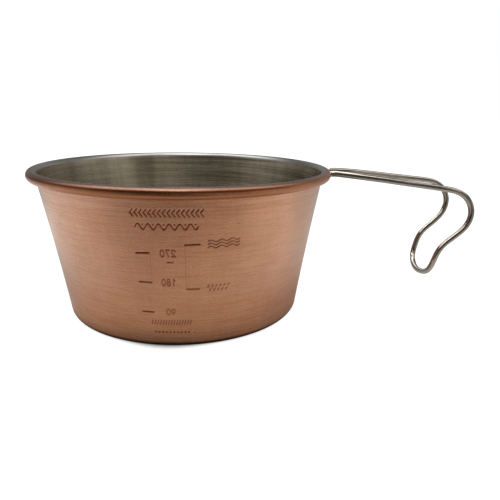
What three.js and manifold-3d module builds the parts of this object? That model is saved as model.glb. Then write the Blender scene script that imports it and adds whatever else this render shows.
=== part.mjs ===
// Deep camping cup: a tapered copper bowl with an outward-rolled rim, a thin grey lining
// on its inside, and one bent wire that is the handle outside and the stiffener inside the rim.
// Millimetres, +Z up. Origin: centre of the underside, on the plane the cup stands on.
// The handle lies along +X and is symmetric about the XZ plane.
import * as THREE from 'three';
import { mergeVertices } from 'three/addons/utils/BufferGeometryUtils.js';
import Module from 'manifold-3d';

const { degToRad } = THREE.MathUtils;

// ---- driving dimensions ----
// Rolled rim. Angles round the roll are in degrees: 0 = outwards, 90 = up, 180 = towards the axis.
const RIM_R = 60;             // outermost radius of the rim
const ROLL_R = 1.945;         // outer radius of the roll's section
const ROLL_Z = 56.2;          // height of the roll's centre
const RING_R = RIM_R - ROLL_R; // radius of the circle the roll's centre runs on
const HOLLOW_R = 1.3;         // radius of the hollow in the roll
const CURL_END = -118;        // where the rolled edge stops
const COPPER_STEP = 88;       // where the copper steps down to pass under the lining
const LINING_END = COPPER_STEP + 3; // where the lining stops, just short of that step

// Wall and base
const WALL_H = ROLL_Z - ROLL_R; // level with the bottom of the roll
const WALL_TOP_R = 56.55;     // outside radius at WALL_H
const WALL_BASE_R = 47.68;    // outside radius carried down to the base plane
const WALL_BOW = 0.3;         // how far the wall's outline bows inwards at mid height
const CORNER_R = 2.5;         // outside radius between wall and base
const COPPER_T = 0.5;
const BOND_GAP = 0.05;        // clearance left between copper and lining
const LINING_T = 0.15;

// Wire
const WIRE_R = 1.15;
const BEND_R = 2.2;           // centreline radius of the two bends where the wire leaves the rim
const EXIT_Y = 5.2;           // half the distance between the limbs where the bends end
const EXIT_X = 60.75;         // nominal x of that point; sets the direction the limbs leave in
const EXIT_RISE = 0.22;       // height of that point above the roll's centre
const END_GAP_DEG = 0.5;      // angle from each end of the wire to the -X direction
const EXIT_CLEAR = 0.3;       // room round the wire in the two exit holes

// Mesh resolution
const LATHE_SEGMENTS = 64;
const WIRE_SIDES = 10;
const HOLE_SIDES = 12;
const RIM_STEPS = 33;         // per side
const BEND_STEPS = 7;         // per bend
const HANDLE_STEPS = 96;      // both limbs and the loop

// ---- the bowl's section: points are [radius, z] ----
// Heights of the wall's stations, and fractions of the corner's arc (0 at the wall, 1 at the base)
const WALL_STATIONS = [54.6, 44, 33, 22, 11];
const CORNER_STATIONS = [0, 0.34, 0.67, 1];

function wallRadius(z) {
  const rise = z / WALL_H;
  return WALL_BASE_R + (WALL_TOP_R - WALL_BASE_R) * rise - WALL_BOW * 4 * rise * (1 - rise);
}

// Change of the wall's radius per millimetre of height
function wallSlope(z) {
  return (WALL_TOP_R - WALL_BASE_R - WALL_BOW * 4 * (1 - 2 * z / WALL_H)) / WALL_H;
}

// The wall's outside at height z, moved inwards by depth along its normal
function wallPoint(z, depth) {
  const slope = wallSlope(z);
  const length = Math.hypot(1, slope);
  return [wallRadius(z) - depth / length, z + (depth * slope) / length];
}

// The corner is an arc tangent to the wall and to the base.
const WALL_LEAN = Math.atan(wallSlope(CORNER_R));
const CORNER_TOP_Z = CORNER_R * (1 - Math.sin(WALL_LEAN));
const CORNER_CENTRE_R = wallRadius(CORNER_TOP_Z) - CORNER_R * Math.cos(WALL_LEAN);

function cornerPoint(fraction, depth) {
  const angle = -WALL_LEAN - fraction * (Math.PI / 2 - WALL_LEAN);
  const radius = CORNER_R - depth;
  return [CORNER_CENTRE_R + radius * Math.cos(angle), CORNER_R + radius * Math.sin(angle)];
}

// A face of the bowl at a depth below the outside, from the wall's top down to the base's centre
function faceDown(depth) {
  return [
    ...WALL_STATIONS.map((z) => wallPoint(z, depth)),
    ...CORNER_STATIONS.map((fraction) => cornerPoint(fraction, depth)),
    [0, depth],
  ];
}

const faceUp = (depth) => faceDown(depth).reverse();

function rollArc(radius, degrees) {
  return degrees.map((angle) => [
    RING_R + radius * Math.cos(degToRad(angle)),
    ROLL_Z + radius * Math.sin(degToRad(angle)),
  ]);
}

function copperSection() {
  return [
    ...faceUp(0),
    // the hollow, from its wall side over the top to the free edge
    ...rollArc(HOLLOW_R, [200, 165, 130, 95, 60, 25, -10, -45, -80, CURL_END]),
    // the roll's outside, from the free edge back up to the step
    ...rollArc(ROLL_R, [CURL_END, -95, -70, -45, -20, 5, 30, 55, 78]),
    // under the lining
    ...rollArc(ROLL_R - LINING_T - BOND_GAP, [COPPER_STEP, 115, 145, 175]),
    ...faceDown(COPPER_T),
  ];
}

function liningSection() {
  const againstCopper = COPPER_T + BOND_GAP;
  return [
    ...faceUp(againstCopper),
    ...rollArc(ROLL_R - LINING_T, [175, 145, 115, LINING_END]),
    ...rollArc(ROLL_R, [LINING_END, 115, 145, 175]),
    ...faceDown(againstCopper + LINING_T),
  ];
}

function turned(section) {
  const points = section.map(([radius, z]) => new THREE.Vector2(radius, z));
  const geometry = new THREE.LatheGeometry(points, LATHE_SEGMENTS);
  return geometry.rotateX(Math.PI / 2); // the lathe turns about Y; the cup stands on Z
}

// ---- the wire's path ----
// The +Y limb, from the rim to the tip of the loop: [x, z, half spacing of the limbs]
const LIMB = [
  [63.8, 56.42, 6.42], [69.55, 56.01, 8.12], [75.46, 55.46, 9.07], [81.4, 54.86, 9.78],
  [87.33, 54.19, 10.48], [93.27, 53.58, 11.16], [99.19, 52.95, 12.02], [105.08, 52.24, 12.96],
  [107.98, 51.53, 13.27], [110.59, 50.08, 13.39], [112.62, 47.88, 13.38], [113.86, 45.15, 13.36],
  [114.15, 42.17, 13.36], [113.48, 39.26, 13.26], [111.98, 36.67, 13.06], [109.97, 34.45, 12.81],
  [107.8, 32.38, 12.62], [105.67, 30.26, 12.52], [103.97, 27.79, 12.46], [102.91, 24.99, 12.35],
  [102.15, 22.1, 12.04], [101.44, 19.39, 11.01], [100.89, 17.55, 8.75], [100.49, 16.57, 5.94],
  [100.19, 16.04, 3.0], [100.09, 15.87, 0],
].map(([x, z, y]) => new THREE.Vector3(x, y, z));

// The bend turns the wire from running along the rim, towards the XZ plane, to running out
// along the limb. Headings are angles from +X towards -Y.
const BEND_END_HEADING = -Math.atan2(LIMB[0].y - EXIT_Y, LIMB[0].x - EXIT_X);
// Azimuth where the bend must start for it to end at EXIT_Y
const BEND_AZIMUTH = Math.asin(
  (EXIT_Y + BEND_R * Math.cos(BEND_END_HEADING)) / (RING_R + BEND_R),
);

const mirrorY = (point) => new THREE.Vector3(point.x, -point.y, point.z);

function ringPoint(azimuth) {
  return new THREE.Vector3(RING_R * Math.cos(azimuth), RING_R * Math.sin(azimuth), ROLL_Z);
}

// From the wire's end opposite the handle to just before the bend, on the +Y side
function rimStations() {
  const start = degToRad(180 - END_GAP_DEG);
  const points = [];
  for (let i = 0; i < RIM_STEPS; i++) {
    points.push(ringPoint(start - (start - BEND_AZIMUTH) * (i / RIM_STEPS)));
  }
  return points;
}

function bendStations() {
  const startHeading = Math.PI / 2 - BEND_AZIMUTH;
  const start = ringPoint(BEND_AZIMUTH);
  const points = [];
  for (let i = 0; i <= BEND_STEPS; i++) {
    const fraction = i / BEND_STEPS;
    const heading = startHeading + (BEND_END_HEADING - startHeading) * fraction;
    points.push(new THREE.Vector3(
      start.x + BEND_R * (Math.sin(startHeading) - Math.sin(heading)),
      start.y - BEND_R * (Math.cos(heading) - Math.cos(startHeading)),
      ROLL_Z + EXIT_RISE * fraction * fraction,
    ));
  }
  return points;
}

// Both limbs and the loop as one smooth curve, without its two end points, which are in the bends
function handleStations(bendEnd) {
  const through = [bendEnd, ...LIMB];
  const mirrored = through.slice(0, -1).reverse().map(mirrorY);
  const curve = new THREE.CatmullRomCurve3([...through, ...mirrored], false, 'centripetal');
  return curve.getSpacedPoints(HANDLE_STEPS).slice(1, -1);
}

const bend = bendStations();
const handle = handleStations(bend.at(-1));

// ---- round bars along stations ----
// A curve that steps from station to station, so that stations can be close together in the tight
// bends and far apart in the long runs. It is sampled only at its stations.
class StationCurve extends THREE.Curve {
  constructor(points) {
    super();
    this.points = points;
  }

  indexAt(u) {
    return Math.round(u * (this.points.length - 1));
  }

  getPointAt(u, target = new THREE.Vector3()) {
    return target.copy(this.points[this.indexAt(u)]);
  }

  // Halfway between the directions of the two neighbouring segments
  getTangentAt(u, target = new THREE.Vector3()) {
    const i = this.indexAt(u);
    const here = this.points[i];
    const before = this.points[Math.max(i - 1, 0)];
    const after = this.points[Math.min(i + 1, this.points.length - 1)];
    const arriving = here.clone().sub(before).normalize();
    const leaving = after.clone().sub(here).normalize();
    return target.copy(arriving).add(leaving).normalize();
  }
}

function barAlong(points, radius, sides) {
  const outline = [];
  for (let i = 0; i < sides; i++) {
    const angle = (i / sides) * 2 * Math.PI;
    outline.push(new THREE.Vector2(radius * Math.cos(angle), radius * Math.sin(angle)));
  }
  const section = new THREE.Shape(outline);
  section.closePath();
  return new THREE.ExtrudeGeometry(section, {
    extrudePath: new StationCurve(points),
    steps: points.length - 1,
    bevelEnabled: false,
    curveSegments: 1,
  });
}

// ---- solids ----
const WELD_DISTANCE = 1e-4;
const wasm = await Module();
wasm.setup();

function toSolid(geometry) {
  // Only positions may decide which vertices are welded.
  geometry.deleteAttribute('normal');
  geometry.deleteAttribute('uv');
  const welded = mergeVertices(geometry, WELD_DISTANCE);
  const corners = welded.index.array;
  const triangles = [];
  for (let i = 0; i < corners.length; i += 3) {
    const [a, b, c] = corners.subarray(i, i + 3);
    // Welding collapses some triangles, such as those on the lathe's axis.
    if (a !== b && b !== c && a !== c) triangles.push(a, b, c);
  }
  const build = () => new wasm.Manifold(new wasm.Mesh({
    numProp: 3,
    vertProperties: new Float32Array(welded.attributes.position.array),
    triVerts: new Uint32Array(triangles),
  }));
  const solid = build();
  if (solid.volume() >= 0) return solid;
  // The faces point inwards: turn every triangle over.
  for (let i = 0; i < triangles.length; i += 3) {
    [triangles[i], triangles[i + 1]] = [triangles[i + 1], triangles[i]];
  }
  return build();
}

function toGeometry(solid) {
  const mesh = solid.getMesh();
  const geometry = new THREE.BufferGeometry();
  geometry.setAttribute('position', new THREE.Float32BufferAttribute(mesh.vertProperties, 3));
  geometry.setIndex(new THREE.Uint32BufferAttribute(mesh.triVerts, 1));
  geometry.computeVertexNormals();
  return geometry;
}

// ---- the pieces ----
// The bowl, with two exit holes that follow the wire from inside the roll to well outside it
function bodySolid() {
  const holePath = [...bend.slice(1), ...handle.slice(0, 3)];
  let solid = toSolid(turned(copperSection()));
  for (const path of [holePath, holePath.map(mirrorY)]) {
    solid = solid.subtract(toSolid(barAlong(path, WIRE_R + EXIT_CLEAR, HOLE_SIDES)));
  }
  return solid;
}

function liningSolid() {
  return toSolid(turned(liningSection()));
}

function wireSolid() {
  const side = [...rimStations(), ...bend];
  const stations = [...side, ...handle, ...side.map(mirrorY).reverse()];
  return toSolid(barAlong(stations, WIRE_R, WIRE_SIDES));
}

const MATERIALS = {
  copper: { color: 0xb8795a, roughness: 0.34, metalness: 1 },
  lining: { color: 0x8d897c, roughness: 0.38, metalness: 1 },
  wire: { color: 0xb9b5ad, roughness: 0.18, metalness: 1 },
};

function piece(name, solid, material) {
  const mesh = new THREE.Mesh(toGeometry(solid), new THREE.MeshStandardMaterial(material));
  mesh.name = name;
  return mesh;
}

const cup = new THREE.Group();
cup.add(piece('cup_body', bodySolid(), MATERIALS.copper));
cup.add(piece('inner_lining', liningSolid(), MATERIALS.lining));
cup.add(piece('handle_wire', wireSolid(), MATERIALS.wire));

export default cup;
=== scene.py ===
# A copper measuring cup with a grey metal lining and a wire handle.
# The cup's axis is Z and its base stands on z = 0. The handle reaches out along +X, and the
# pressed marks face -Y. Lengths are in millimetres and are scaled by MM for Blender.
import math

import bpy
import bmesh
import numpy as np
from mathutils import Matrix, Vector


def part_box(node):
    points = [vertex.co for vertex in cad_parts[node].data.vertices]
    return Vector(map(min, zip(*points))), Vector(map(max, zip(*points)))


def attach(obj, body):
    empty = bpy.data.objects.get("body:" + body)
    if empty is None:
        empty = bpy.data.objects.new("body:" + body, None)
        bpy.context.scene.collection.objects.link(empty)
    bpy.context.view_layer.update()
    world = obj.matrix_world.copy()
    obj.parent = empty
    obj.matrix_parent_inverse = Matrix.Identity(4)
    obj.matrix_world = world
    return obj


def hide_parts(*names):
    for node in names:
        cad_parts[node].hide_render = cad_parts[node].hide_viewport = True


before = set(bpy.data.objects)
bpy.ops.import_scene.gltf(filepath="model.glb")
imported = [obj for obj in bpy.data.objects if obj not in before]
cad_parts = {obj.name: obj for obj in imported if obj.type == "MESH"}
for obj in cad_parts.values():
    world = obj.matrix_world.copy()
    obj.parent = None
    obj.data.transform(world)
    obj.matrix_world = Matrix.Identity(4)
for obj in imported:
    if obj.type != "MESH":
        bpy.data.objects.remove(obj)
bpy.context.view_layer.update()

# ----------------------------------------------------------------------------------
# Dimensions
# ----------------------------------------------------------------------------------
MM = 0.001
FRAME_TURN = 9.0  # degrees from the azimuths of marks and camera to the frame's

# bowl: a slightly hollow cone wall on a rounded corner, with a rolled rim
RIM_R = 60.0
BEAD_R = 1.945  # outer radius of the roll's section
BEAD_Z = 56.2
RING_R = RIM_R - BEAD_R
CAVITY_R = 1.3  # hollow of the roll
CURL_END = -118.0  # the roll's free edge, degrees round its section
WALL_H = BEAD_Z - BEAD_R
WALL_TOP_R = 56.55
WALL_BASE_R = 47.68
WALL_HOLLOW = 0.3
WALL_JOIN_Z = 54.6  # the inner faces pass from wall to roll here
CORNER_R = 2.5
COPPER_T = 0.5
BOND_GAP = 0.05
LINING_T = 0.15
LINING_BACK = COPPER_T + BOND_GAP  # depth of the lining's back below the outer face
LINING_FACE = LINING_BACK + LINING_T

# wire: a ring inside the roll whose two ends bend out of it at +X and join in a loop
WIRE_R = 1.15
HOLE_GAP = 0.22  # clearance round the wire in the exit holes
BEND_R = 2.2
BEND_RISE = 0.22
EXIT_X = 60.75  # end of the bend
EXIT_Y = 5.2
END_GAP_DEG = 0.5
# stations of the handle's +Y half from the rim to its foot: x, z, y
LIMB = [
    (63.8, 56.42, 6.42), (69.55, 56.01, 8.12), (75.46, 55.46, 9.07), (81.4, 54.86, 9.78),
    (87.33, 54.19, 10.48), (93.27, 53.58, 11.16), (99.19, 52.95, 12.02),
    (105.08, 52.24, 12.96), (107.98, 51.53, 13.27), (110.59, 50.08, 13.39),
    (112.62, 47.88, 13.38), (113.86, 45.15, 13.36), (114.15, 42.17, 13.36),
    (113.48, 39.26, 13.26), (111.98, 36.67, 13.06), (109.97, 34.45, 12.81),
    (107.8, 32.38, 12.62), (105.67, 30.26, 12.52), (103.97, 27.79, 12.46),
    (102.91, 24.99, 12.35), (102.15, 22.1, 12.04), (101.44, 19.39, 11.01),
    (100.89, 17.55, 8.75), (100.49, 16.57, 5.94), (100.19, 16.04, 3.0), (100.09, 15.87, 0.0),
]

# a changed CAD part stops the script instead of being drawn wrong
HANDLE_REACH = 115.3
SIZE_TOLERANCE = 0.3
body_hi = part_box("cup_body")[1]
wire_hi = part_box("handle_wire")[1]
for name, found, drawn in (
    ("rim radius", body_hi.x / MM, RIM_R),
    ("height", body_hi.z / MM, BEAD_Z + BEAD_R),
    ("handle reach", wire_hi.x / MM, HANDLE_REACH),
):
    if abs(found - drawn) > SIZE_TOLERANCE:
        raise RuntimeError(
            f"the CAD part's {name} is {found:.2f} mm, and this script draws {drawn:.2f} mm")

# ----------------------------------------------------------------------------------
# Pressed marks: strokes on the wall unrolled at MARK_R, u round the cup and z up.
# They are pressed from outside, so the numerals read rightly only from inside the cup.
# ----------------------------------------------------------------------------------
MARK_R = 51.5
MARK_DEPTH = 0.22
MARK_SOFT = 0.14  # half the width of a stroke's soft edge
MM_PER_DEG = math.radians(1.0) * MARK_R


def chain(*points):
    return list(zip(points[:-1], points[1:]))


def arc(centre, radii, start, end, steps):
    points = []
    for i in range(steps + 1):
        angle = math.radians(start + (end - start) * i / steps)
        points.append((centre[0] + radii[0] * math.cos(angle),
                       centre[1] + radii[1] * math.sin(angle)))
    return chain(*points)


# numerals in a box one unit high and NUMERAL_W wide, reading left to right
NUMERAL_W = 0.6
NUMERAL_HALF = 0.2  # half width of their strokes
NUMERALS = {
    "0": arc((0.3, 0.5), (0.27, 0.46), 0, 360, 22),
    "1": chain((0.12, 0.78), (0.32, 0.96), (0.32, 0.04)),
    "2": arc((0.3, 0.69), (0.26, 0.27), 165, -38, 12)
    + chain((0.505, 0.525), (0.04, 0.04), (0.58, 0.04)),
    "7": chain((0.03, 0.96), (0.56, 0.96), (0.2, 0.04)),
    "8": arc((0.3, 0.725), (0.21, 0.235), 0, 360, 18)
    + arc((0.3, 0.27), (0.26, 0.235), 0, 360, 18),
    "9": arc((0.3, 0.67), (0.25, 0.29), 0, 360, 18)
    + arc((0.13, 0.67), (0.42, 0.63), 0, -68, 8),
}
# text, lowest and highest azimuth, lowest and highest z, depth
NUMBERS = [
    ("270", -99.1, -93.3, 34.95, 37.5, 0.86),
    ("180", -99.2, -93.7, 24.4, 26.95, 0.74),
    ("90", -98.1, -94.2, 13.0, 15.5, 0.58),
]
# azimuth and z of one end, azimuth and z of the other, half width, depth
LINES = [
    # volume ticks, and a short dash under the upper number
    (-107.3, 35.98, -102.6, 36.22, 0.2, 1.35),
    (-107.4, 25.55, -102.7, 25.5, 0.2, 1.02),
    (-107.4, 14.15, -102.9, 14.1, 0.2, 1.0),
    (-96.6, 33.0, -94.5, 33.0, 0.14, 0.8),
    # fine line between the upper two ticks, and its faint double
    (-102.3, 35.8, -102.55, 25.7, 0.08, 0.32),
    (-103.6, 34.6, -103.8, 26.4, 0.06, 0.16),
    # bracket: two arms, a long fine stroke and its faint double
    (-90.3, 39.0, -85.2, 39.12, 0.2, 1.35),
    (-90.0, 23.0, -85.2, 22.92, 0.2, 0.95),
    (-90.35, 39.05, -90.05, 23.0, 0.08, 0.5),
    (-89.2, 34.5, -89.0, 24.0, 0.06, 0.2),
]
# specks where the sheet is pitted: azimuth, z, radius
SPECKS = [
    (-72.2, 45.7, 0.22), (-132.6, 23.6, 0.2), (-141.9, 41.7, 0.18),
    (-120.4, 30.2, 0.12), (-66.0, 31.5, 0.12),
]


def pressed_strokes():
    """All strokes, one per row: u, z of the start, u, z of the end, half width, depth."""
    strokes = []

    def unroll(azimuth):
        return (azimuth + FRAME_TURN) * MM_PER_DEG

    def press(segments, half, depth):
        strokes.extend((*start, *end, half, depth) for start, end in segments)

    def line(start, z_start, end, z_end, half, depth):
        press([((unroll(start), z_start), (unroll(end), z_end))], half, depth)

    def dot(azimuth, z, radius, depth):
        u = unroll(azimuth)
        press([((u, z), (u + 0.01, z))], radius, depth)

    def wave(start, span, z, rise, height, waves, steps, half, depth):
        points = []
        for i in range(steps + 1):
            t = i / steps
            points.append((unroll(start + span * t),
                           z + rise * t + height * math.sin(2 * math.pi * waves * t)))
        press(chain(*points), half, depth)

    for text, low, high, z_low, z_high, depth in NUMBERS:
        # digits follow one another towards smaller azimuths
        height = z_high - z_low
        pitch = (unroll(high) - unroll(low)) / len(text)
        scale = 0.76 * pitch / NUMERAL_W
        for i, digit in enumerate(text):
            u = unroll(high) - i * pitch - 0.12 * pitch
            placed = [tuple((u - x * scale, z_low + y * height) for x, y in segment)
                      for segment in NUMERALS[digit]]
            press(placed, NUMERAL_HALF, depth)
    for entry in LINES:
        line(*entry)

    # upper border: a row of chevrons
    z = 49.8
    for i in range(16):
        u = unroll(-107.2 + i * 1.5)
        press(chain((u + 0.42, z + 1.15), (u - 0.42, z), (u + 0.42, z - 1.15)),
              half=0.185, depth=1.08)

    # second border: one continuous wave with a dot over every hollow
    start, span, waves, z = -106.4, 20.6, 6, 45.25
    wave(start, span, z, rise=0.0, height=0.95, waves=waves, steps=120, half=0.19, depth=1.1)
    for i in range(waves):
        dot(start + span * (i + 0.75) / waves, z + 0.75, radius=0.22, depth=1.1)

    # liquid level sign: three waves beside the bracket's upper arm
    for offset in (1.05, 0.0, -1.05):
        wave(-82.4, 11.4, 39.0 + offset, rise=0.35, height=0.36, waves=3, steps=30,
             half=0.15, depth=0.95)

    # dry level sign: short grains scattered beside the lower arm
    for i in range(11):
        azimuth = -81.9 + i * 0.78
        z = 23.05 + (0.75, -0.75)[i % 2]
        line(azimuth - 0.22, z - 0.33, azimuth + 0.22, z + 0.33, half=0.22, depth=0.68)

    # lower borders: slanted hatching, then a row of dots
    for i in range(15):
        line(-104.1 + i * 1.09, 9.15, -103.6 + i * 1.09, 10.85, half=0.13, depth=0.85)
    for i in range(10):
        dot(-102.9 + i * 1.5, 6.1, radius=0.32, depth=1.0)
    for azimuth, z, radius in SPECKS:
        dot(azimuth, z, radius, depth=0.7)
    return np.array(strokes)


STROKES = pressed_strokes()

# ----------------------------------------------------------------------------------
# Columns and rows of the turned meshes, close together where the marks are
# ----------------------------------------------------------------------------------
FINE_LO, FINE_HI = -100.0, -60.6  # azimuths with close columns
FINE_COLUMN = 0.17
FINE_ROW = 0.182
COARSE_ROW = 0.9
HIDDEN_ROW = 3.0
BAND_MARGIN = 0.3
# heights with close rows: from, to
BANDS = [(5.1, 7.1), (8.9, 11.1), (12.9, 15.6), (21.9, 27.1), (32.8, 33.2), (34.8, 40.6),
         (44.0, 46.5), (48.5, 51.1)]

fine_columns = np.arange(FINE_LO, FINE_HI, FINE_COLUMN / MM_PER_DEG)
coarse_columns = np.linspace(fine_columns[-1], FINE_LO + 360.0, 108)[1:-1]
COLUMNS = np.concatenate([fine_columns, coarse_columns])
NCOL = len(COLUMNS)
AZIMUTHS = (COLUMNS + 180.0) % 360.0 - 180.0


def marked_rows(z, z_to):
    """Heights of the rows on a face that carries the marks."""
    heights = []
    while z < z_to:
        heights.append(z)
        if any(lo - BAND_MARGIN <= z + 1e-6 <= hi + BAND_MARGIN for lo, hi in BANDS):
            z += FINE_ROW
        else:
            gaps = [lo - BAND_MARGIN - z for lo, hi in BANDS if lo - BAND_MARGIN > z]
            z += min([COARSE_ROW] + gaps)
    return heights


def lining_edge():
    """Where the lining ends on top of the roll, in degrees round it: an uneven edge."""
    p = np.radians(AZIMUTHS)
    return (84.0 + 3.0 * np.sin(3 * p + 0.4) + 2.0 * np.sin(11 * p + 1.0)
            + 1.2 * np.sin(23 * p))


EDGE = lining_edge()


def wall_r(z):
    t = z / WALL_H
    return WALL_BASE_R + (WALL_TOP_R - WALL_BASE_R) * t - WALL_HOLLOW * 4 * t * (1 - t)


def wall_slope(z):
    return ((WALL_TOP_R - WALL_BASE_R) / WALL_H
            - WALL_HOLLOW * 4 * (1 - 2 * z / WALL_H) / WALL_H)


LEAN = math.atan(wall_slope(CORNER_R))
CORNER_TOP_Z = CORNER_R * (1 - math.sin(LEAN))
CORNER_CENTRE_R = wall_r(CORNER_TOP_Z) - CORNER_R * math.cos(LEAN)
OUTER_ZS = marked_rows(CORNER_TOP_Z + 0.15, 54.4)
HIDDEN_ZS = np.arange(CORNER_TOP_Z + 0.3, 54.0, HIDDEN_ROW)

# unevenness of the wall: amplitude, waves per turn, phase, phase per mm of height
WOBBLES = [
    (0.018, 3, 1.9, 0.03), (0.010, 5, 0.0, -0.07), (0.007, 9, 0.5, 0.11),
    (0.0045, 17, 2.0, -0.05), (0.0030, 31, 0.0, 0.16),
]


def wobble(z):
    p = np.radians(AZIMUTHS)
    oval = 0.030 * np.sin(2 * p + 0.6) * (z / 55)
    waves = sum(amplitude * np.sin(count * p + phase + z * rate)
                for amplitude, count, phase, rate in WOBBLES)
    ripple = 0.006 * np.sin(z * 0.55) * (1 + 0.4 * np.sin(p + 1))
    fade = min(1.0, z / 8.0) * min(1.0, max(0.0, (WALL_JOIN_Z - z) / 3.0))
    return (oval + waves + ripple) * fade


def mark_depths(z):
    """Depth of the marks in every column at height z, in units of MARK_DEPTH."""
    start_u, start_z, end_u, end_z, half, depth = STROKES.T[:, :, None]
    u = AZIMUTHS * MM_PER_DEG - start_u
    up = z - start_z
    du, dz = end_u - start_u, end_z - start_z
    t = np.clip((u * du + up * dz) / (du * du + dz * dz), 0, 1)
    distance = np.hypot(u - t * du, up - t * dz)
    share = np.clip((half + MARK_SOFT - distance) / (2 * MARK_SOFT), 0, 1)
    return (share * share * (3 - 2 * share) * depth).max(axis=0)


# Each kind of row gives radius, height and mark depth in every column; depth is measured
# inwards from the copper's outer face.
def even_row(radius, z):
    return np.full(NCOL, float(radius)), np.full(NCOL, float(z)), np.zeros(NCOL)


def flat_rows(radii, z):
    return [even_row(radius, z) for radius in radii]


def corner_row(share, depth):
    """share runs from 0 at the wall to 1 at the base."""
    angle = -LEAN - share * (math.pi / 2 - LEAN)
    return even_row(CORNER_CENTRE_R + (CORNER_R - depth) * math.cos(angle),
                    CORNER_R + (CORNER_R - depth) * math.sin(angle))


def wall_row(z, depth, marked=False):
    marks = mark_depths(z) if marked else np.zeros(NCOL)
    move = wobble(z) - MARK_DEPTH * marks
    slope = wall_slope(z)
    norm = math.hypot(1, slope)
    return (wall_r(z) - depth / norm + move / norm,
            z + depth * slope / norm - move * slope / norm, marks)


def roll_row(degrees, radius):
    """degrees round the roll's section: 0 outwards, 90 up, 180 towards the axis."""
    angle = np.radians(np.zeros(NCOL) + degrees)
    return RING_R + radius * np.cos(angle), BEAD_Z + radius * np.sin(angle), np.zeros(NCOL)


# ----------------------------------------------------------------------------------
# Mesh builders
# ----------------------------------------------------------------------------------
def band_faces(rings, sides):
    """Quads between successive closed rings of points."""
    return [(i + j, i + (j + 1) % sides, i + sides + (j + 1) % sides, i + sides + j)
            for i in range(0, (rings - 1) * sides, sides) for j in range(sides)]


def set_floats(mesh, floats):
    for key, values in floats.items():
        attribute = mesh.attributes.new(key, "FLOAT", "POINT")
        attribute.data.foreach_set("value", np.asarray(values, np.float32))


def shade_smooth(mesh):
    mesh.polygons.foreach_set("use_smooth", [True] * len(mesh.polygons))


def make_object(name, points, faces, floats):
    mesh = bpy.data.meshes.new(name)
    mesh.from_pydata(points.tolist(), [], faces)
    set_floats(mesh, floats)
    mesh.validate()
    mesh.update()
    ob = bpy.data.objects.new(name, mesh)
    bpy.context.scene.collection.objects.link(ob)
    bm = bmesh.new()
    bm.from_mesh(mesh)
    bmesh.ops.recalc_face_normals(bm, faces=bm.faces)
    if bm.calc_volume(signed=True) < 0:
        bmesh.ops.reverse_faces(bm, faces=bm.faces)
    bm.to_mesh(mesh)
    bm.free()
    shade_smooth(mesh)
    return ob


def turned(name, rows, z_first, z_last):
    """A turned solid; fans to points on the axis close its first and last rows.

    Attributes: mark, the depth of the marks; along, the distance along the section.
    """
    radii, heights, marks = (np.array(part) for part in zip(*rows))
    angles = np.radians(COLUMNS)
    points = np.stack([radii * np.cos(angles), radii * np.sin(angles), heights], -1)
    points = points.reshape(-1, 3)
    middle = NCOL // 2
    steps = np.hypot(np.diff(radii[:, middle]), np.diff(heights[:, middle]))
    along = np.repeat(np.concatenate([[0], np.cumsum(steps)]), NCOL)

    faces = band_faces(len(rows), NCOL)
    first, last = len(points), len(points) + 1
    last_row = (len(rows) - 1) * NCOL
    for j in range(NCOL):
        following = (j + 1) % NCOL
        faces.append((first, following, j))
        faces.append((last, last_row + j, last_row + following))
    points = np.vstack([points, [[0, 0, z_first], [0, 0, z_last]]]) * MM
    floats = {"mark": np.append(marks.ravel(), [0, 0]),
              "along": np.append(along, [0, along[-1]])}
    return make_object(name, points, faces, floats)


def tube(name, path, radius, sides):
    """A round bar along a path. Attributes: along, mm along it; turn, angle round it."""
    path = np.array(path, float)
    tangents = np.gradient(path, axis=0)
    tangents /= np.linalg.norm(tangents, axis=1)[:, None]
    # carry a normal along the curve without twist
    normals = np.zeros_like(path)
    normal = np.cross(tangents[0], [0, 0, 1.0])
    normal /= np.linalg.norm(normal)
    for i, tangent in enumerate(tangents):
        normal = normal - tangent * (normal @ tangent)
        normal /= np.linalg.norm(normal)
        normals[i] = normal
    binormals = np.cross(tangents, normals)
    angles = np.linspace(0, 2 * math.pi, sides, endpoint=False)
    rings = [centre + radius * (np.cos(angles)[:, None] * normal
                                + np.sin(angles)[:, None] * binormal)
             for centre, normal, binormal in zip(path, normals, binormals)]
    lengths = np.linalg.norm(np.diff(path, axis=0), axis=1)
    along = np.concatenate([[0], np.cumsum(lengths)])

    count = len(path)
    faces = band_faces(count, sides)
    faces.append(tuple(range(sides)))
    faces.append(tuple((count - 1) * sides + j for j in range(sides)))
    return make_object(name, np.concatenate(rings) * MM, faces,
                       {"along": np.repeat(along, sides), "turn": np.tile(angles, count)})


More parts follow.
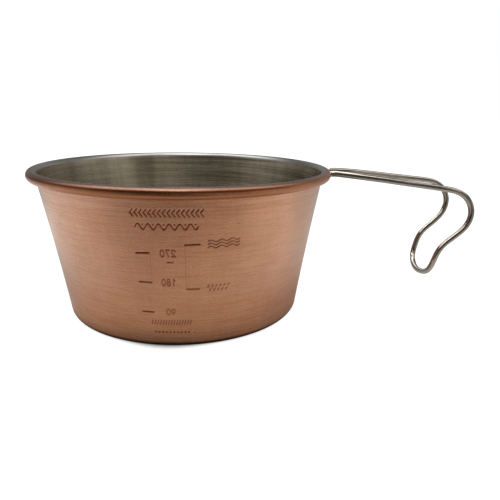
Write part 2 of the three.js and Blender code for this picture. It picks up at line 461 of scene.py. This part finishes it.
# ----------------------------------------------------------------------------------
# Copper bowl and grey lining
# ----------------------------------------------------------------------------------
def copper_bowl():
    # outer face: base, corner, wall
    rows = flat_rows([6, 14, 22, 30, 36, 40, 43, 44.6], 0.0)
    rows += [corner_row(share, 0.0) for share in np.linspace(1, 0, 10)]
    rows += [wall_row(z, 0, marked=True) for z in OUTER_ZS]
    rows += [wall_row(54.8, 0)]
    # hollow of the roll, and its rounded free edge
    rows += [roll_row(degrees, CAVITY_R) for degrees in np.linspace(205, CURL_END, 22)]
    edge_r = (BEAD_R - CAVITY_R) / 2
    edge_centre = (BEAD_R + CAVITY_R) / 2
    rows += [roll_row(CURL_END - math.degrees(edge_r * math.sin(t) / edge_centre),
                      edge_centre - edge_r * math.cos(t))
             for t in np.linspace(0.5, math.pi - 0.5, 4)]
    # outside of the roll up to the lining's edge, then a step down under the lining
    under_lining = BEAD_R - LINING_T - BOND_GAP
    rows += [roll_row(CURL_END + (EDGE - 2.5 - CURL_END) * t, BEAD_R)
             for t in np.linspace(0.0, 1.0, 36)]
    rows += [roll_row(EDGE - 0.6, BEAD_R - 0.03), roll_row(EDGE, under_lining)]
    rows += [roll_row(EDGE + (178 - EDGE) * t, under_lining)
             for t in np.linspace(0.1, 1.0, 9)]
    # inner face back to the axis
    rows += [wall_row(WALL_JOIN_Z, COPPER_T)]
    rows += [wall_row(z, COPPER_T) for z in reversed(HIDDEN_ZS)]
    rows += [corner_row(share, COPPER_T) for share in np.linspace(0, 1, 6)]
    rows += flat_rows([43, 36, 22, 6], COPPER_T)
    return turned("copper_bowl", rows, 0.0, COPPER_T)


def grey_lining():
    # back, from the axis up to the edge on the roll
    rows = flat_rows([6, 22, 36, 43], LINING_BACK)
    rows += [corner_row(share, LINING_BACK) for share in np.linspace(1, 0, 6)]
    rows += [wall_row(z, LINING_BACK) for z in HIDDEN_ZS]
    rows += [wall_row(WALL_JOIN_Z, LINING_BACK)]
    rows += [roll_row(178 + (EDGE + 1.2 - 178) * t, BEAD_R - LINING_T)
             for t in np.linspace(0.0, 1.0, 9)]
    # edge
    rows += [roll_row(EDGE + 0.6, BEAD_R - LINING_T * 0.6),
             roll_row(EDGE + 1.0, BEAD_R - 0.03)]
    # bare face back to the axis
    rows += [roll_row(EDGE + 2.5 + (178 - EDGE - 2.5) * t, BEAD_R)
             for t in np.linspace(0.0, 1.0, 18)]
    rows += [wall_row(WALL_JOIN_Z, LINING_FACE)]
    rows += [wall_row(z, LINING_FACE, marked=True) for z in reversed(OUTER_ZS)]
    rows += [corner_row(share, LINING_FACE) for share in np.linspace(0, 1, 9)]
    rows += flat_rows([44.0, 43, 40, 36, 30, 22, 14, 6], LINING_FACE)
    return turned("grey_lining", rows, LINING_BACK, LINING_FACE)


body = copper_bowl()
lining = grey_lining()


# ----------------------------------------------------------------------------------
# Wire handle
# ----------------------------------------------------------------------------------
def wire_bend():
    """The +Y bend out of the roll: azimuth where it starts, its points, final heading."""
    heading = math.atan2(LIMB[0][2] - EXIT_Y, LIMB[0][0] - EXIT_X)
    end_angle = -heading
    azimuth = 7.0
    gain = 50  # degrees per unit of relative error
    for _ in range(60):  # move the start until the bend ends at EXIT_Y
        start_angle = math.radians(90 - azimuth)
        y = (RING_R * math.sin(math.radians(azimuth))
             - BEND_R * (math.cos(end_angle) - math.cos(start_angle)))
        azimuth += (EXIT_Y - y) / RING_R * gain
    start_angle = math.radians(90 - azimuth)
    start_x = RING_R * math.cos(math.radians(azimuth))
    start_y = RING_R * math.sin(math.radians(azimuth))
    points = []
    for i in range(25):
        t = i / 24
        angle = start_angle + (end_angle - start_angle) * t
        points.append((start_x + BEND_R * (math.sin(start_angle) - math.sin(angle)),
                       start_y - BEND_R * (math.cos(angle) - math.cos(start_angle)),
                       BEAD_Z + BEND_RISE * t * t))
    return azimuth, points, heading


def spline(points, start, end, steps=8):
    """A C2 cubic through the points, with the given directions at its ends."""
    points = np.array(points, float)
    knots = np.linalg.norm(np.diff(points, axis=0), axis=1) ** 0.5
    knots = np.concatenate([[0], np.cumsum(knots)])
    count = len(points)
    h = np.diff(knots)
    system = np.zeros((count, count))
    target = np.zeros((count, 3))
    for i in range(1, count - 1):
        system[i, i - 1:i + 2] = h[i - 1], 2 * (h[i - 1] + h[i]), h[i]
        target[i] = 6 * ((points[i + 1] - points[i]) / h[i]
                         - (points[i] - points[i - 1]) / h[i - 1])
    start_speed = np.array(start) * np.linalg.norm(points[1] - points[0]) / h[0]
    end_speed = np.array(end) * np.linalg.norm(points[-1] - points[-2]) / h[-1]
    system[0, :2] = 2 * h[0], h[0]
    target[0] = 6 * ((points[1] - points[0]) / h[0] - start_speed)
    system[-1, -2:] = h[-1], 2 * h[-1]
    target[-1] = 6 * (end_speed - (points[-1] - points[-2]) / h[-1])
    second = np.linalg.solve(system, target)  # second derivatives at the points
    curve = []
    for i in range(count - 1):
        for k in range(steps):
            x = knots[i] + h[i] * k / steps
            ahead, behind = knots[i + 1] - x, x - knots[i]
            curve.append(second[i] * ahead**3 / (6 * h[i])
                         + second[i + 1] * behind**3 / (6 * h[i])
                         + (points[i] / h[i] - second[i] * h[i] / 6) * ahead
                         + (points[i + 1] / h[i] - second[i + 1] * h[i] / 6) * behind)
    curve.append(points[-1])
    return curve


def mirrored(points):
    """The points at -y, in the same order."""
    return [(x, -y, z) for x, y, z in points]


def wire_paths():
    """The whole wire's path, and the part that passes through the +Y exit hole."""
    exit_azimuth, bend, heading = wire_bend()
    start_azimuth = 180 - END_GAP_DEG
    ring = []
    for i in range(140):
        angle = math.radians(start_azimuth - (start_azimuth - exit_azimuth) * i / 140)
        ring.append((RING_R * math.cos(angle), RING_R * math.sin(angle), BEAD_Z))
    rise = (bend[-1][2] - bend[-2][2]) / math.dist(bend[-1], bend[-2])
    half = [bend[-1]] + [(x, y, z) for x, z, y in LIMB]
    loop = spline(half + mirrored(half[-2::-1]),
                  start=(math.cos(heading), math.sin(heading), rise),
                  end=(-math.cos(heading), math.sin(heading), -rise))
    path = ring + bend[:-1] + loop + mirrored(bend[-2::-1]) + mirrored(ring[::-1])
    return path, bend[3:] + loop[1:14]


def cut_exit_holes(bowl, path):
    """Cut the wire's exits out of the roll, one at +Y and one at -Y."""
    hole_r = WIRE_R + HOLE_GAP
    cutters = [tube("cut_a", path, hole_r, sides=20),
               tube("cut_b", mirrored(path), hole_r, sides=20)]
    for cutter in cutters:
        modifier = bowl.modifiers.new("exit", "BOOLEAN")
        modifier.operation = "DIFFERENCE"
        modifier.solver = "EXACT"
        modifier.object = cutter
    depsgraph = bpy.context.evaluated_depsgraph_get()
    cut = bpy.data.meshes.new_from_object(
        bowl.evaluated_get(depsgraph), preserve_all_data_layers=True, depsgraph=depsgraph)
    bowl.modifiers.clear()
    uncut = bowl.data
    bowl.data = cut
    bpy.data.meshes.remove(uncut)
    for cutter in cutters:
        mesh = cutter.data
        bpy.data.objects.remove(cutter)
        bpy.data.meshes.remove(mesh)
    # points that only split one edge would give folded slivers as triangles
    bm = bmesh.new()
    bm.from_mesh(cut)
    bmesh.ops.dissolve_verts(bm, verts=[v for v in bm.verts if len(v.link_edges) == 2])
    bm.to_mesh(cut)
    bm.free()
    shade_smooth(cut)


wire_path, hole_path = wire_paths()
wire = tube("handle_wire_fine", wire_path, WIRE_R, sides=22)
cut_exit_holes(body, hole_path)

# edges stay sharp where the surface turns by more than this many degrees
for ob, degrees in ((body, 50), (lining, 50), (wire, 60)):
    ob.data.set_sharp_from_angle(angle=math.radians(degrees))


# ----------------------------------------------------------------------------------
# Materials
# ----------------------------------------------------------------------------------
class Graph:
    """The node tree of a material or world, with short ways to add nodes."""

    def __init__(self, owner):
        owner.use_nodes = True
        self.owner = owner
        self.tree = owner.node_tree
        self.tree.nodes.clear()

    def node(self, kind, inputs=None, **settings):
        """Add a node; an input given as a socket is linked, any other is its value."""
        node = self.tree.nodes.new("ShaderNode" + kind)
        for key, value in settings.items():
            setattr(node, key, value)
        for key, value in (inputs or {}).items():
            if isinstance(value, bpy.types.NodeSocket):
                self.tree.links.new(value, node.inputs[key])
            else:
                node.inputs[key].default_value = value
        return node

    def calc(self, operation, *operands, clamp=False):
        return self.node("Math", dict(enumerate(operands)), operation=operation,
                         use_clamp=clamp).outputs[0]

    def add(self, total, *others):
        for other in others:
            total = self.calc("ADD", total, other)
        return total

    def mul(self, total, *others):
        for other in others:
            total = self.calc("MULTIPLY", total, other)
        return total

    def sub(self, a, b):
        return self.calc("SUBTRACT", a, b)

    def ease(self, x, span, to=(0.0, 1.0)):
        """Map x smoothly from span to to."""
        inputs = {"Value": x, "From Min": span[0], "From Max": span[1],
                  "To Min": to[0], "To Max": to[1]}
        return self.node("MapRange", inputs, interpolation_type="SMOOTHSTEP").outputs["Result"]

    def attr(self, name):
        return self.node("Attribute", attribute_name=name).outputs["Fac"]

    def tint(self, base, colour, amount):
        """Blend base towards colour; each is an RGB tuple or a socket."""
        a, b = ((*c, 1.0) if isinstance(c, tuple) else c for c in (base, colour))
        inputs = {"Factor": amount, 6: a, 7: b}
        return self.node("Mix", inputs, data_type="RGBA").outputs[2]

    def around(self):
        """Cosine and sine of the azimuth, and the height in mm."""
        coordinates = self.node("TexCoord").outputs["Object"]
        x, y, z = self.node("SeparateXYZ", {0: coordinates}).outputs
        r = self.calc("SQRT", self.add(self.mul(x, x), self.mul(y, y)))
        r = self.calc("MAXIMUM", r, 1e-5)
        return self.calc("DIVIDE", x, r), self.calc("DIVIDE", y, r), self.mul(z, 1000.0)

    def streaks(self, place, per_turn, per_mm, detail, rough):
        """Noise drawn out into lines, at place (cosine, sine, distance along).

        per_turn sets how fast it changes round the axis, per_mm how fast along.
        """
        cosine, sine, along = place
        vector = self.node("CombineXYZ", {0: self.mul(cosine, per_turn),
                                          1: self.mul(sine, per_turn),
                                          2: self.mul(along, per_mm)}).outputs[0]
        inputs = {"Scale": 1.0, "Detail": detail, "Roughness": rough, "Distortion": 0.0,
                  "Vector": vector}
        return self.node("TexNoise", inputs).outputs["Fac"]

    def color_ramp(self, factor, interpolation, stops):
        node = self.node("ValToRGB", {"Fac": factor})
        node.color_ramp.interpolation = interpolation
        elements = node.color_ramp.elements
        while len(elements) < len(stops):
            elements.new(0.5)
        for i, (position, colour) in enumerate(stops):
            elements[i].position = position
            elements[i].color = (*colour, 1.0)
        return node.outputs["Color"]

    def scale(self, vector, factor):
        return self.node("VectorMath", operation="SCALE",
                         inputs={0: vector, "Scale": factor}).outputs[0]

    def add_vectors(self, a, b):
        return self.node("VectorMath", {0: a, 1: b}, operation="ADD").outputs[0]

    def mix_shaders(self, factor, first, second):
        return self.node("MixShader", {0: factor, 1: first, 2: second}).outputs[0]

    def metal(self, colour, rough, height, strength, distance, aniso=None):
        """Finish as bumped metal; aniso stretches highlights relative to the Z axis."""
        bump = self.node("Bump", {"Strength": strength, "Distance": distance,
                                  "Height": height}).outputs[0]
        inputs = {"Base Color": colour, "Roughness": rough, "Metallic": 1.0, "Normal": bump}
        if aniso is not None:
            inputs["Anisotropic"] = aniso
            inputs["Anisotropic Rotation"] = 0.25
            inputs["Tangent"] = self.node("Tangent", direction_type="RADIAL",
                                          axis="Z").outputs[0]
        self.node("OutputMaterial", {0: self.node("BsdfPrincipled", inputs).outputs[0]})
        return self.owner


def copper_material():
    g = Graph(bpy.data.materials.new("brushed_copper"))
    cx, cy, z = g.around()
    mark = g.attr("mark")
    place = (cx, cy, g.attr("along"))
    hair = g.streaks(place, per_turn=11.0, per_mm=5.2, detail=3.0, rough=0.7)
    dashes = g.streaks(place, per_turn=46.0, per_mm=2.3, detail=2.0, rough=0.6)
    lines = g.streaks(place, per_turn=3.0, per_mm=1.6, detail=3.0, rough=0.65)
    bands = g.streaks(place, per_turn=1.3, per_mm=0.42, detail=2.0, rough=0.55)
    clouds = g.streaks(place, per_turn=3.4, per_mm=0.06, detail=3.0, rough=0.6)
    upright = g.streaks(place, per_turn=30.0, per_mm=0.10, detail=2.0, rough=0.6)
    bold = g.streaks(place, per_turn=1.7, per_mm=1.15, detail=3.0, rough=0.7)

    # brushed copper: clouds and bands, dark lines and dashes, pale hairs
    base = g.tint((0.945, 0.42, 0.218), colour=(0.865, 0.368, 0.182),
                  amount=g.ease(clouds, span=(0.35, 0.65)))
    for pattern, span, amount, colour in (
        (bands, (0.3, 0.7), 0.4, (0.94, 0.47, 0.265)),
        (lines, (0.44, 0.66), 0.42, (0.62, 0.25, 0.11)),
        (dashes, (0.50, 0.70), 0.28, (0.64, 0.26, 0.12)),
        (hair, (0.5, 0.72), 0.26, (0.94, 0.57, 0.375)),
    ):
        base = g.tint(base, colour, g.ease(pattern, span, to=(0.0, amount)))
    # longer, bolder lines just under the roll, dark and pale
    near_roll = g.ease(z, span=(43.0, 51.0))
    for span, amount, colour in (
        ((0.50, 0.64), 0.42, (0.58, 0.225, 0.10)),
        ((0.50, 0.36), 0.35, (0.97, 0.60, 0.40)),
    ):
        base = g.tint(base, colour, g.mul(near_roll, g.ease(bold, span, to=(0.0, amount))))
    # film from handling and washing, paler in upright streaks
    base = g.tint(base, colour=(0.90, 0.57, 0.40),
                  amount=g.ease(upright, span=(0.45, 0.75), to=(0.0, 0.16)))
    # painted shade in the marks' grooves, with some patina there
    base = g.tint(base, colour=(0.275, 0.036, 0.002),
                  amount=g.calc("MULTIPLY", mark, 0.92, clamp=True))
    # darker and cloudy towards the bottom
    base = g.tint(base, colour=(0.46, 0.16, 0.06),
                  amount=g.mul(g.ease(z, span=(0.0, 3.6), to=(1.0, 0.0)),
                               g.ease(clouds, span=(0.35, 0.65), to=(0.05, 0.18))))
    # painted shade: a dark band round the foot's corner, where the metal would reflect the
    # shaded floor at the contact
    base = g.tint(base, colour=(0.13, 0.026, 0.008),
                  amount=g.ease(z, span=(1.0, 2.5), to=(0.88, 0.0)))
    # the roll is duller than the wall
    roll = g.ease(z, span=(53.9, 54.5))
    base = g.tint(base, colour=(0.68, 0.285, 0.145),
                  amount=g.mul(roll, g.ease(clouds, span=(0.35, 0.65), to=(0.7, 0.95))))
    # dark underneath, where it isn't wiped
    # painted shade on the roll's underside, streaked by the lines
    base = g.tint(base, colour=(0.44, 0.155, 0.06),
                  amount=g.mul(roll, g.ease(z, span=(55.5, 56.9), to=(1.0, 0.0)),
                               g.ease(lines, span=(0.3, 0.6), to=(0.62, 0.85))))
    # painted dark reflection: a dark line round the roll, left out near +X and -X
    sideways = g.mul(g.ease(cx, span=(0.6, 0.82), to=(1.0, 0.0)),
                     g.ease(cx, span=(-0.98, -0.86)))
    base = g.tint(base, colour=(0.22, 0.055, 0.014),
                  amount=g.mul(g.ease(z, span=(56.3, 56.75)),
                               g.ease(z, span=(57.1, 57.4), to=(0.85, 0.0)), sideways))
    # worn pale on the crown
    base = g.tint(base, colour=(0.54, 0.355, 0.31),
                  amount=g.mul(g.ease(z, span=(57.2, 57.7)),
                               g.ease(dashes, span=(0.35, 0.65), to=(0.5, 1.0))))
    # painted sheen: copper seen edge on is blended paler, least at the foot, on the roll and
    # in the marks
    facing = g.node("LayerWeight", {"Blend": 0.5}).outputs["Facing"]
    grazing_sheen = g.mul(g.calc("MULTIPLY", g.sub(facing, 0.05), 0.6, clamp=True),
                    g.ease(z, span=(4.0, 30.0), to=(0.05, 1.0)),
                    g.sub(1.0, g.mul(roll, 0.85)),
                    g.calc("SUBTRACT", 1.0, mark, clamp=True))
    base = g.tint(base, colour=(0.90, 0.74, 0.62), amount=grazing_sheen)

    # grooves round the cup blur reflections up and down, hardly sideways;
    # the +X side is a little rougher
    rough = g.add(g.mul(hair, 0.08), 0.215, g.mul(clouds, 0.04), g.mul(mark, 0.08),
                  g.ease(cx, span=(0.72, 0.92), to=(0.0, 0.075)))
    return g.metal(base, rough, height=g.add(hair, g.mul(lines, 0.8), g.mul(dashes, 0.7)),
                   strength=1.0, distance=0.000049, aniso=g.sub(1.0, g.mul(roll, 0.6)))


def lining_material():
    g = Graph(bpy.data.materials.new("brushed_grey_lining"))
    cx, cy, z = g.around()
    place = (cx, cy, g.attr("along"))
    hair = g.streaks(place, per_turn=1.3, per_mm=4.4, detail=2.0, rough=0.65)
    lines = g.streaks(place, per_turn=0.7, per_mm=1.5, detail=3.0, rough=0.65)
    rings = g.streaks(place, per_turn=0.4, per_mm=0.75, detail=2.0, rough=0.6)
    bands = g.streaks(place, per_turn=0.8, per_mm=0.22, detail=2.0, rough=0.55)
    runs = g.streaks(place, per_turn=17.0, per_mm=0.04, detail=2.0, rough=0.6)

    base = g.tint((0.62, 0.535, 0.395), colour=(0.72, 0.64, 0.49),
                  amount=g.ease(bands, span=(0.3, 0.7)))
    # the brush bit least on the -X side
    bite = g.ease(cx, span=(-0.85, 0.1), to=(0.4, 1.45))
    for pattern, span, amount, colour in (
        (lines, (0.42, 0.62), 0.6, (0.33, 0.275, 0.185)),
        (rings, (0.46, 0.62), 0.5, (0.31, 0.255, 0.17)),
        (hair, (0.48, 0.66), 0.5, (0.90, 0.82, 0.68)),
    ):
        base = g.tint(base, colour, g.mul(bite, g.ease(pattern, span, to=(0.0, amount))))
    # faint upright streaks left by rinsing
    base = g.tint(base, colour=(0.36, 0.30, 0.21),
                  amount=g.ease(runs, span=(0.45, 0.62), to=(0.0, 0.30)))
    # painted light and shade on the roll: palest towards +Y, where it catches the light,
    # darkest towards -Y
    roll_light_and_shade = g.tint((0.66, 0.645, 0.61), colour=(0.99, 0.975, 0.93),
                  amount=g.ease(cy, span=(0.55, 0.9)))
    roll_light_and_shade = g.tint(roll_light_and_shade, colour=(0.56, 0.50, 0.43),
                  amount=g.ease(cy, span=(-0.4, 0.15), to=(1.0, 0.0)))
    base = g.tint(base, colour=roll_light_and_shade, amount=g.ease(z, span=(56.2, 57.1)))

    rough = g.add(g.mul(hair, 0.16), 0.16, g.mul(lines, 0.06))
    bent = g.ease(z, span=(54.3, 55.6))
    return g.metal(base, rough, height=g.add(hair, g.mul(lines, 1.4)),
                   strength=0.8, distance=0.00004, aniso=g.sub(0.95, g.mul(bent, 0.6)))


def wire_material():
    g = Graph(bpy.data.materials.new("polished_wire"))
    along = g.attr("along")
    turn = g.attr("turn")
    place = (g.calc("COSINE", turn), g.calc("SINE", turn), along)
    drawn = g.streaks(place, per_turn=9.0, per_mm=0.12, detail=3.0, rough=0.65)
    spots = g.streaks(place, per_turn=1.1, per_mm=0.5, detail=3.0, rough=0.6)
    base = g.tint((0.45, 0.405, 0.35), colour=(0.37, 0.325, 0.27),
                  amount=g.ease(spots, span=(0.35, 0.7)))
    base = g.tint(base, colour=(0.27, 0.225, 0.175),
                  amount=g.ease(drawn, span=(0.45, 0.7), to=(0.0, 0.3)))
    rough = g.add(g.mul(drawn, 0.05), g.add(g.mul(spots, 0.05), 0.035))
    return g.metal(base, rough, height=drawn, strength=0.3, distance=0.00002)


for ob, material, slot in (
    (body, copper_material(), "copper"),
    (lining, lining_material(), "lining"),
    (wire, wire_material(), "wire"),
):
    ob.data.materials.clear()
    ob.data.materials.append(material)
    ob.data.polygons.foreach_set("material_index", [0] * len(ob.data.polygons))
    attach(ob, "root")
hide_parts("cup_body")
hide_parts("inner_lining")
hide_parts("handle_wire")

# ----------------------------------------------------------------------------------
# Stage. The camera sees white paper and a white backdrop; the metal reflects a studio
# with a back (+Y), a right (+X), a front (-Y) and a left (-X) side.
# ----------------------------------------------------------------------------------
scene = bpy.context.scene
scene.view_settings.view_transform = "Standard"
scene.view_settings.look = "None"

# colour of each side of the room at these elevations
ELEVATIONS = (0.0, 20.0, 45.0, 90.0)
ROOM = {
    "back": ((0.22, 0.22, 0.23), (0.36, 0.35, 0.33), (0.05, 0.05, 0.05), (0.61, 0.62, 0.60)),
    "right": ((0.81, 0.82, 0.84), (0.13, 0.13, 0.12), (0.75, 0.72, 0.70), (0.61, 0.62, 0.60)),
    "front": ((0.50, 0.48, 0.44), (0.04, 0.03, 0.02), (0.12, 0.12, 0.15), (0.61, 0.62, 0.60)),
    "left": ((0.43, 0.44, 0.45), (0.13, 0.12, 0.12), (0.65, 0.67, 0.68), (0.61, 0.62, 0.60)),
}
# brightness of the walls looking round: azimuth, factor
WALLS = [
    (-180, 1.25), (-168, 1.15), (-152, 1.15), (-144, 0.6), (-136, 0.57), (-128, 0.6),
    (-120, 0.5), (-108, 0.45), (-98, 0.43), (-88, 0.56), (-78, 0.78), (-70, 1.08),
    (-64, 1.48), (-57, 1.25), (-50, 0.54), (-44, 0.33), (-38, 0.42), (-32, 0.72),
    (-24, 1.25), (-14, 1.08), (-5, 0.76), (6, 0.89), (16, 1.0), (26, 0.75), (38, 0.5),
    (50, 0.73), (75, 0.78), (115, 0.7), (146, 0.5), (160, 0.79), (172, 1.2), (180, 1.25),
]
# round soft lamps in the world: direction to each, colour
LAMPS = [
    ((0.0, 0.0, 1.0), (0.66, 0.70, 0.72)), ((0.42, 0.0, 0.9), (0.15, 0.16, 0.16)),
    ((-0.42, 0.0, 0.9), (0.57, 0.62, 0.64)), ((0.77, 0.0, 0.64), (0.23, 0.24, 0.23)),
]
LAMP_EDGE = (18, 8)  # degrees from a lamp's middle where it is dark, and fully bright
# glow of the floor in the metal at these distances from the cup's axis; the low values next to
# the foot on the front, right and left are painted shade
FLOOR_AT = (46.0, 52.0, 60.0, 75.0, 90.0, 110.0, 140.0, 180.0, 600.0)
FLOOR_GLOW = {
    "back": (0.40, 0.42, 0.47, 0.20, 0.10, 0.20, 0.70, 0.64, 0.50),
    "front": (0.00, 0.09, 0.52, 0.43, 0.59, 0.49, 0.26, 0.02, 0.00),
    "right": (0.00, 0.33, 0.19, 0.47, 0.65, 0.73, 0.79, 0.61, 0.32),
    "left": (0.00, 0.50, 0.43, 0.44, 0.57, 0.58, 0.95, 0.85, 0.15),
}
FLOOR_Z = -0.03
FLOOR_SIDES = 72
CONTACT_R = 45.2  # the contact shadow starts here


def floor_glow(x, y):
    square = np.maximum(x * x + y * y, 1e-12)
    shares = {"back": np.where(y > 0, y * y, 0), "front": np.where(y <= 0, y * y, 0),
              "right": np.where(x > 0, x * x, 0), "left": np.where(x <= 0, x * x, 0)}
    distance = np.log(np.maximum(np.hypot(x, y), 1.0))
    return sum(shares[side] / square * np.interp(distance, np.log(FLOOR_AT), glow)
               for side, glow in FLOOR_GLOW.items())


def floor_paper(x, y):
    """Brightness of the paper, with a painted contact shadow that reaches furthest towards -Y.
    """
    distance = np.hypot(x, y) - CONTACT_R
    away = np.maximum(distance, 0)
    towards = np.maximum(np.cos(np.arctan2(y, x) + math.radians(91)), 0)
    reach = 1.0 + 1.9 * towards ** 30
    shade = 1.0 - 0.96 * np.exp(-((away / reach) ** 1.7)) - 0.03 * np.exp(-away / 6.0)
    return np.where(distance < 0, 0.0, shade)


def floor_material():
    g = Graph(bpy.data.materials.new("floor_paper"))
    # the paper's glow seen by the camera carries the painted contact shadow
    paper = g.node("Emission", {"Strength": g.attr("paper")}).outputs[0]
    diffuse = g.node("BsdfDiffuse", {"Color": (0.5, 0.5, 0.5, 1)}).outputs[0]
    seen = g.node("AddShader", {0: paper, 1: diffuse}).outputs[0]
    reflected = g.node("Emission", {"Strength": g.attr("glow")}).outputs[0]
    camera_ray = g.node("LightPath").outputs["Is Camera Ray"]
    g.node("OutputMaterial", {0: g.mix_shaders(camera_ray, reflected, seen)})
    return g.owner


def studio_floor():
    radii = np.concatenate([[0.5], np.linspace(6, 42, 7), np.linspace(44, 60, 17),
                            np.geomspace(63, 4000, 46)])
    points = []
    for radius in radii:
        for j in range(FLOOR_SIDES):
            angle = 2 * math.pi * j / FLOOR_SIDES
            points.append((radius * MM * math.cos(angle), radius * MM * math.sin(angle),
                           FLOOR_Z * MM))
    faces = [(a, d, c, b) for a, b, c, d in band_faces(len(radii), FLOOR_SIDES)]
    mesh = bpy.data.meshes.new("studio_floor")
    mesh.from_pydata(points, [], faces)
    x, y = np.array(points)[:, 0] / MM, np.array(points)[:, 1] / MM
    set_floats(mesh, {"glow": floor_glow(x, y), "paper": floor_paper(x, y)})
    floor = bpy.data.objects.new("studio_floor", mesh)
    scene.collection.objects.link(floor)
    mesh.materials.append(floor_material())


def studio_world():
    g = Graph(bpy.data.worlds.new("studio"))
    scene.world = g.owner
    direction = g.node("TexCoord").outputs["Generated"]
    x, y, z = g.node("SeparateXYZ", {0: direction}).outputs
    x_square, y_square = g.mul(x, x), g.mul(y, y)
    square = g.calc("MAXIMUM", g.add(x_square, y_square), 1e-6)
    height = g.calc("DIVIDE", g.calc("ARCSINE", z), math.pi / 2, clamp=True)

    # the four sides, blended by direction
    total = None
    for side, part, test, axis in (
        ("back", y_square, "GREATER_THAN", y),
        ("right", x_square, "GREATER_THAN", x),
        ("front", y_square, "LESS_THAN", y),
        ("left", x_square, "LESS_THAN", x),
    ):
        share = g.calc("DIVIDE", g.mul(part, g.calc(test, axis, 0.0)), square)
        stops = [(degrees / 90.0, colour) for degrees, colour in zip(ELEVATIONS, ROOM[side])]
        glow = g.scale(g.color_ramp(height, "LINEAR", stops), share)
        total = glow if total is None else g.add_vectors(total, glow)

    # the walls' variation, which fades out higher up; the ramp holds half the factors
    azimuth = g.add(g.calc("DIVIDE", g.calc("ARCTAN2", y, x), 2 * math.pi), 0.5)
    stops = [((degrees + 180.0) / 360.0, (value / 2,) * 3) for degrees, value in WALLS]
    vary = g.sub(g.mul(g.color_ramp(azimuth, "CARDINAL", stops), 2.0), 1.0)
    vary = g.add(g.mul(vary, g.ease(height, span=(0.45, 0.75), to=(1.0, 0.0))), 1.0)
    total = g.scale(total, vary)

    for towards, colour in LAMPS:
        cosine = g.node("VectorMath", {0: direction, 1: Vector(towards).normalized()},
                        operation="DOT_PRODUCT").outputs["Value"]
        disc = g.ease(cosine, span=[math.cos(math.radians(edge)) for edge in LAMP_EDGE])
        total = g.add_vectors(total, g.scale(colour, disc))

    room = g.node("Background", {"Color": total}).outputs[0]
    backdrop = g.node("Background", {"Color": (1, 1, 1, 1)}).outputs[0]
    camera_ray = g.node("LightPath").outputs["Is Camera Ray"]
    g.node("OutputWorld", {0: g.mix_shaders(camera_ray, room, backdrop)})


studio_floor()
studio_world()

# round soft boxes that only the wire sees: azimuth, elevation, strength
WIRE_DISCS = [
    (180, 12, 1.65), (90, 12, 0.55), (30, 36, 1.1), (90, 36, 1.6), (120, 36, 1.3),
    (150, 36, 0.85), (180, 36, 0.5), (210, 36, 1.6), (300, 36, 0.55), (0, 60, 0.85),
    (90, 60, 3.3), (180, 60, 3.3), (0, 85, 1.45),
]
DISC_HALF_ANGLE = 13.0  # degrees, as seen from the cup


def soft_disc(name, direction, far, strength, colour, receivers):
    """A round soft box facing the cup from far metres away, lighting only the receivers.

    strength is its brightness as seen in a mirror.
    """
    data = bpy.data.lights.new(name, "AREA")
    data.shape = "DISK"
    data.size = 2 * far * math.tan(math.radians(DISC_HALF_ANGLE))
    data.energy = strength * math.pi * data.size**2
    data.color = colour
    ob = bpy.data.objects.new(name, data)
    ob.location = Vector(direction).normalized() * far
    ob.rotation_euler = (-ob.location).to_track_quat("-Z", "Y").to_euler()
    scene.collection.objects.link(ob)
    group = bpy.data.collections.new(name + "_receivers")
    for receiver in receivers:
        group.objects.link(receiver)
    ob.light_linking.receiver_collection = group
    ob.visible_camera = False


soft_disc("front_disc", direction=(0.0, -0.42, 0.9), far=1.2, strength=0.93,
          colour=(0.95, 0.99, 1.0), receivers=(body, lining))
for i, (azimuth, elevation, strength) in enumerate(WIRE_DISCS):
    azimuth, elevation = math.radians(azimuth), math.radians(elevation)
    direction = (math.cos(azimuth) * math.cos(elevation),
                 math.sin(azimuth) * math.cos(elevation), math.sin(elevation))
    soft_disc(f"wire_disc_{i}", direction, far=3.0, strength=strength,
              colour=(1.0, 1.0, 1.0), receivers=(wire,))

# camera: in front of the cup, then turned with the marks about Z
CAMERA_Y, CAMERA_Z = -202.17, 81.09
CAMERA_YAW = 7.923  # towards +X
CAMERA_PITCH = 16.406  # downwards
CAMERA_ROLL = 1.066
SENSOR_WIDTH = 36.0
LENS = 34.66368


def add_camera():
    yaw, pitch, roll, turn = (
        math.radians(a) for a in (CAMERA_YAW, CAMERA_PITCH, CAMERA_ROLL, FRAME_TURN))
    forward = Vector((math.sin(yaw) * math.cos(pitch), math.cos(yaw) * math.cos(pitch),
                      -math.sin(pitch)))
    level = Vector((math.cos(yaw), -math.sin(yaw), 0.0))
    upright = level.cross(forward)
    right = level * math.cos(roll) + upright * math.sin(roll)
    up = -level * math.sin(roll) + upright * math.cos(roll)
    spin = Matrix.Rotation(turn, 3, "Z")
    place = spin @ Vector((0, CAMERA_Y, CAMERA_Z)) * MM
    data = bpy.data.cameras.new("camera")
    data.sensor_width = SENSOR_WIDTH
    data.lens = LENS
    data.clip_start = 0.005
    data.clip_end = 50.0
    camera = bpy.data.objects.new("camera", data)
    scene.collection.objects.link(camera)
    axes = (spin @ right, spin @ up, -(spin @ forward), place)
    camera.matrix_world = Matrix((*zip(*axes), (0, 0, 0, 1)))
    scene.camera = camera


add_camera()

bpy.context.view_layer.update()
